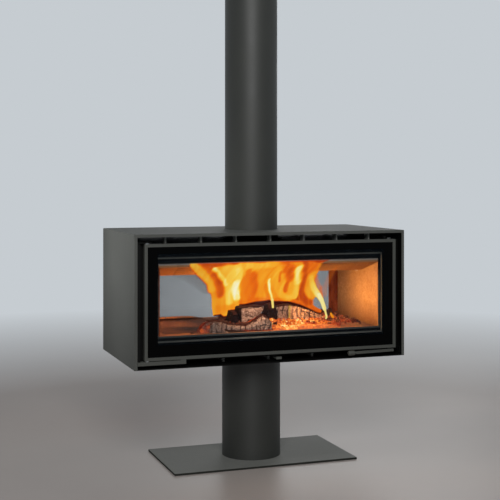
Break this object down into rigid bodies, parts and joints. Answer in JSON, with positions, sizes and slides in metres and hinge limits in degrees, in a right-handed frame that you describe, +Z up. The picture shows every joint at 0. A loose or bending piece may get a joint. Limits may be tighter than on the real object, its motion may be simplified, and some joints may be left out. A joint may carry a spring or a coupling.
{
  "type": "double-sided freestanding fireplace",
  "caption": "See-through wood-burning fireplace on a round pedestal, with a glazed door on each face of a wide sheet steel casing and a round flue pipe.",
  "frame": {"origin": "centre of the base plate's underside, on the floor", "axes": "+Z up; +X to the right as seen from the front door, along the casing's width; +Y from the front door to the rear door"},
  "size_m": [1, 0.5492, 1.806],
  "materials": {
    "casing_paint": "satin high-temperature stove paint",
    "pedestal_paint": "satin high-temperature stove paint",
    "door_paint": "satin high-temperature stove paint",
    "black_paint": "matt black high-temperature paint",
    "inner_steel": "matt painted steel",
    "zinc_steel": "zinc plated steel",
    "grey_iron": "as cast",
    "vermiculite": "pressed vermiculite board, matt",
    "door_glass": "clear glass ceramic",
    "seal_rope": "braided glass fibre",
    "log_wood": "split beech log, charred",
    "embers": "glowing ember and ash"
  },
  "bodies": {
    "stove": {"base_plate": "casing_paint", "pedestal_column": "pedestal_paint", "pedestal_post": "inner_steel", "foot_bolts": "zinc_steel", "head_bolts": "zinc_steel", "casing_wrap": "casing_paint", "casing_floor": "inner_steel", "body_screws": "zinc_steel", "carrier_beams": "inner_steel", "firebox_shell": "black_paint", "front_face_frame": "black_paint", "rear_face_frame": "black_paint", "air_box": "inner_steel", "duct_sleeve": "inner_steel", "ash_pan": "zinc_steel", "grate": "grey_iron", "floor_bricks": "vermiculite", "left_side_board": "vermiculite", "right_side_board": "vermiculite", "front_deflector": "vermiculite", "rear_deflector": "vermiculite", "centre_baffle": "vermiculite", "baffle_brackets": "inner_steel", "lining_clips": "zinc_steel", "corner_risers": "inner_steel", "flue_collar": "black_paint", "flue_pipe": "pedestal_paint", "top_fins": "door_paint", "bottom_fins": "door_paint", "front_hinge_post": "door_paint", "rear_hinge_post": "door_paint", "front_hinge_bar": "door_paint", "rear_hinge_bar": "door_paint", "hinge_pins": "zinc_steel", "latch_keepers": "door_paint", "slider_guide": "inner_steel", "ember_bed": "embers", "front_log": "log_wood", "upper_log": "log_wood", "rear_log": "log_wood"},
    "front_door": {"front_door_frame": "door_paint", "front_door_glass": "door_glass", "front_glass_tape": "seal_rope", "front_inner_frame": "black_paint", "front_frame_screws": "zinc_steel", "front_rope_seal": "seal_rope"},
    "front_latch": {"front_latch_rod": "zinc_steel", "front_latch_lever": "door_paint", "front_latch_knob": "door_paint"},
    "rear_door": {"rear_door_frame": "door_paint", "rear_door_glass": "door_glass", "rear_glass_tape": "seal_rope", "rear_inner_frame": "black_paint", "rear_frame_screws": "zinc_steel", "rear_rope_seal": "seal_rope"},
    "rear_latch": {"rear_latch_rod": "zinc_steel", "rear_latch_lever": "door_paint", "rear_latch_knob": "door_paint"},
    "air_control": {"air_slider": "door_paint"}
  },
  "joints": [
    {"name": "front_door_hinge", "type": "hinge", "parent": "stove", "child": "front_door", "pos_m": [-0.455, -0.24, 0.60625], "axis": [0, 0, -1], "range_deg": [0, 110]},
    {"name": "rear_door_hinge", "type": "hinge", "parent": "stove", "child": "rear_door", "pos_m": [0.455, 0.24, 0.60625], "axis": [0, 0, -1], "range_deg": [0, 110]},
    {"name": "front_latch_turn", "type": "hinge", "parent": "front_door", "child": "front_latch", "pos_m": [0.449, -0.2331, 0.60625], "axis": [0, 0, 1], "range_deg": [0, 80]},
    {"name": "rear_latch_turn", "type": "hinge", "parent": "rear_door", "child": "rear_latch", "pos_m": [-0.449, 0.2331, 0.60625], "axis": [0, 0, 1], "range_deg": [0, 80]},
    {"name": "air_slide", "type": "slide", "parent": "stove", "child": "air_control", "axis": [1, 0, 0], "range_m": [-0.03, 0.03]}
  ]
}
